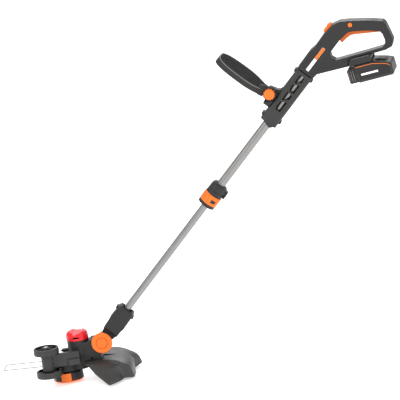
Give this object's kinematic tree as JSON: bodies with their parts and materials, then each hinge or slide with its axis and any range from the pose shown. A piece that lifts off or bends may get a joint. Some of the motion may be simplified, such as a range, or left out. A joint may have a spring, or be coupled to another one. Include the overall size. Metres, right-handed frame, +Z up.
{
  "type": "cordless lawn edger",
  "caption": "Cordless string trimmer and lawn edger with telescopic shaft, tilting head, guide wheels, loop aux handle, trigger grip and slide-on battery.",
  "frame": {"origin": "centre of the flat underside of the spool cap", "axes": "+Z up along the spool axis, +X from the head towards the rear handle, shaft in the XZ plane"},
  "size_m": [1.0958, 0.2134, 0.8465],
  "materials": {
    "orange_plastic": "satin",
    "red_plastic": "gloss",
    "black_plastic": "fine texture",
    "grey_plastic": "fine texture",
    "guard_plastic": "satin",
    "grip_rubber": "ribbed",
    "wheel_plastic": "satin",
    "tube_metal": "brushed",
    "steel": "satin",
    "zinc_screw": "blackened",
    "wire_steel": "bright",
    "copper": "satin",
    "cell_wrap": "gloss",
    "line_nylon": "gloss",
    "board_green": "gloss",
    "gear_nylon": "satin",
    "badge": "gloss",
    "trigger_plastic": "satin"
  },
  "bodies": {
    "handle_frame": {"handle_shell_near": "black_plastic", "handle_shell_far": "black_plastic", "truss_sleeve_near": "grey_plastic", "truss_sleeve_far": "grey_plastic", "upper_tube": "tube_metal", "collar_shell_near": "black_plastic", "collar_shell_far": "black_plastic", "collar_end_ring": "black_plastic", "frame_screws": "zinc_screw", "battery_dock": "black_plastic", "dock_terminals": "copper", "control_board": "board_green", "switch_unit": "black_plastic", "badge_strip": "badge", "aux_bracket": "black_plastic", "trigger_pin": "steel"},
    "aux_handle": {"aux_loop": "grip_rubber", "aux_pivot_bolt": "steel"},
    "aux_knob": {"aux_star_knob": "orange_plastic"},
    "twist_ring": {"lock_ring": "orange_plastic"},
    "telescope": {"tube_index_plug": "black_plastic"},
    "lower_shaft": {"lower_tube": "tube_metal", "lower_housing_near": "black_plastic", "lower_housing_far": "black_plastic", "lower_screws": "zinc_screw", "pivot_pin": "steel"},
    "head": {"head_shell_near": "black_plastic", "head_shell_far": "black_plastic", "gear_case": "black_plastic", "motor_can": "steel", "head_screws": "zinc_screw", "guard": "guard_plastic", "line_cutter": "steel", "wheel_arm": "wheel_plastic", "wheel_axle": "steel", "pivot_cap_far": "black_plastic"},
    "tilt_button": {"pivot_button": "orange_plastic"},
    "line_feed_button": {"feed_button": "red_plastic", "feed_spring": "steel"},
    "rotor": {"motor_rotor": "steel", "pinion": "copper"},
    "spool": {"spool_shaft": "steel", "driven_gear": "gear_nylon", "spool_housing": "black_plastic", "line_eyelets": "wire_steel", "spool_reel": "gear_nylon", "line_winding": "line_nylon", "spool_cap": "orange_plastic", "spool_spring": "steel"},
    "upper_wheel": {"wheel_upper": "wheel_plastic"},
    "lower_wheel": {"wheel_lower": "wheel_plastic"},
    "plant_guard": {"wire_guard": "wire_steel"},
    "throttle": {"trigger": "trigger_plastic"},
    "lock_off": {"lock_off_button": "orange_plastic"},
    "mode_switch": {"mode_slider": "orange_plastic"},
    "battery_pack": {"pack_shell_upper": "black_plastic", "pack_shell_lower": "grey_plastic", "pack_cells": "cell_wrap", "pack_contacts": "copper"},
    "pack_latch": {"battery_latch": "black_plastic"}
  },
  "joints": [
    {"name": "aux_handle_tilt", "type": "hinge", "parent": "handle_frame", "child": "aux_handle", "pos_m": [0.61059, 0, 0.68363], "axis": [0, 1, 0], "range_deg": [-40, 40]},
    {"name": "aux_knob_turn", "type": "hinge", "parent": "aux_handle", "child": "aux_knob", "pos_m": [0.61059, 0, 0.68363], "axis": [0, 1, 0], "range_deg": [0, 360]},
    {"name": "lock_ring_twist", "type": "hinge", "parent": "handle_frame", "child": "twist_ring", "pos_m": [0.42285, 0, 0.42862], "axis": [0.6921, 0, 0.7218], "range_deg": [0, 60]},
    {"name": "shaft_telescope", "type": "slide", "parent": "handle_frame", "child": "telescope", "axis": [0.6921, 0, 0.7218], "range_m": [0, 0.2]},
    {"name": "shaft_rotation", "type": "hinge", "parent": "telescope", "child": "lower_shaft", "pos_m": [0.30864, 0, 0.30953], "axis": [0.6921, 0, 0.7218], "range_deg": [0, 180]},
    {"name": "head_tilt", "type": "hinge", "parent": "lower_shaft", "child": "head", "pos_m": [0.101, 0, 0.093], "axis": [0, 1, 0], "range_deg": [-15, 40]},
    {"name": "tilt_button_press", "type": "slide", "parent": "head", "child": "tilt_button", "axis": [0, 1, 0], "range_m": [0, 0.0025], "stiffness_N_per_m": 1200, "springref_m": -0.001},
    {"name": "feed_button_press", "type": "slide", "parent": "head", "child": "line_feed_button", "axis": [0, 0, -1], "range_m": [0, 0.004], "stiffness_N_per_m": 1200, "springref_m": -0.001, "deforming": ["feed_spring"]},
    {"name": "spool_spin", "type": "hinge", "parent": "head", "child": "spool", "pos_m": [0, 0, 0.03], "axis": [0, 0, 1], "continuous": true},
    {"name": "motor_spin", "type": "hinge", "parent": "head", "child": "rotor", "pos_m": [0.036, 0, 0.06], "axis": [0, 0, 1], "continuous": true},
    {"name": "upper_wheel_spin", "type": "hinge", "parent": "head", "child": "upper_wheel", "pos_m": [-0.0376, -0.0556, 0.094], "axis": [0, 0, 1], "continuous": true},
    {"name": "lower_wheel_spin", "type": "hinge", "parent": "head", "child": "lower_wheel", "pos_m": [-0.0376, -0.0556, 0.035], "axis": [0, 0, 1], "continuous": true},
    {"name": "plant_guard_fold", "type": "hinge", "parent": "head", "child": "plant_guard", "pos_m": [0.006, 0, 0.047], "axis": [0, 1, 0], "range_deg": [0, 25]},
    {"name": "trigger_squeeze", "type": "hinge", "parent": "handle_frame", "child": "throttle", "pos_m": [0.9065, 0, 0.817], "axis": [0, 1, 0], "range_deg": [0, 4], "stiffness_Nm_per_rad": 1.5, "springref_deg": -5.73},
    {"name": "lock_off_press", "type": "slide", "parent": "handle_frame", "child": "lock_off", "axis": [0, 1, 0], "range_m": [0, 0.003], "stiffness_N_per_m": 400, "springref_m": -0.002},
    {"name": "mode_slide", "type": "slide", "parent": "handle_frame", "child": "mode_switch", "axis": [-0.6921, 0, -0.7218], "range_m": [0, 0.008]},
    {"name": "pack_slide", "type": "slide", "parent": "handle_frame", "child": "battery_pack", "axis": [0.989, 0, 0.1478], "range_m": [0, 0.1]},
    {"name": "latch_press", "type": "slide", "parent": "battery_pack", "child": "pack_latch", "axis": [0.1478, 0, -0.989], "range_m": [0, 0.003], "stiffness_N_per_m": 500, "springref_m": -0.002}
  ],
  "couplings": [
    {"joint": "motor_spin", "follows": "spool_spin", "ratio": -2}
  ]
}
